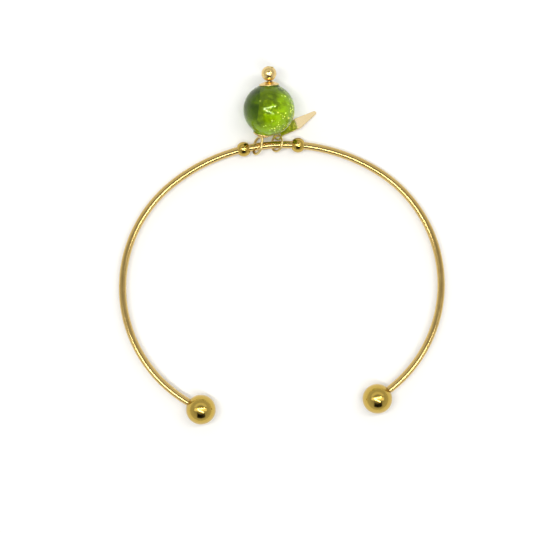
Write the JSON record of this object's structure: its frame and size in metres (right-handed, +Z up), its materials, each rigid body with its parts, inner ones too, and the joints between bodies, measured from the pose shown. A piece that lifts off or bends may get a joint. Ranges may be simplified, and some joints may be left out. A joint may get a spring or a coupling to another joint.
{
  "type": "charm bangle",
  "caption": "Open oval wire cuff with ball ends, carrying a foil-lined glass bead drop and a flat lozenge charm between small stopper beads.",
  "frame": {"origin": "middle of the wrist opening, at the height of the surface on which the bangle lies", "axes": "+Z up from that surface, +Y from the middle of the wrist opening to the charms on the crown, +X to the right of it"},
  "size_m": [0.0658, 0.0708, 0.0103],
  "materials": {
    "gold_plate": "polished yellow gold plating on brass",
    "pale_gold_plate": "polished pale gold plating on brass",
    "green_glass": "clear olive-green lampwork glass over crinkled gold foil"
  },
  "bodies": {
    "root": {"bangle_wire": "gold_plate", "end_ball_left": "gold_plate", "end_ball_right": "gold_plate", "stopper_bead_left": "gold_plate", "stopper_bead_right": "gold_plate", "glass_bead": "green_glass", "bead_cap_top": "gold_plate", "bead_cap_bottom": "gold_plate", "finial_bead": "gold_plate", "head_pin": "gold_plate", "jump_ring": "gold_plate", "lozenge_charm": "pale_gold_plate"}
  },
  "joints": []
}
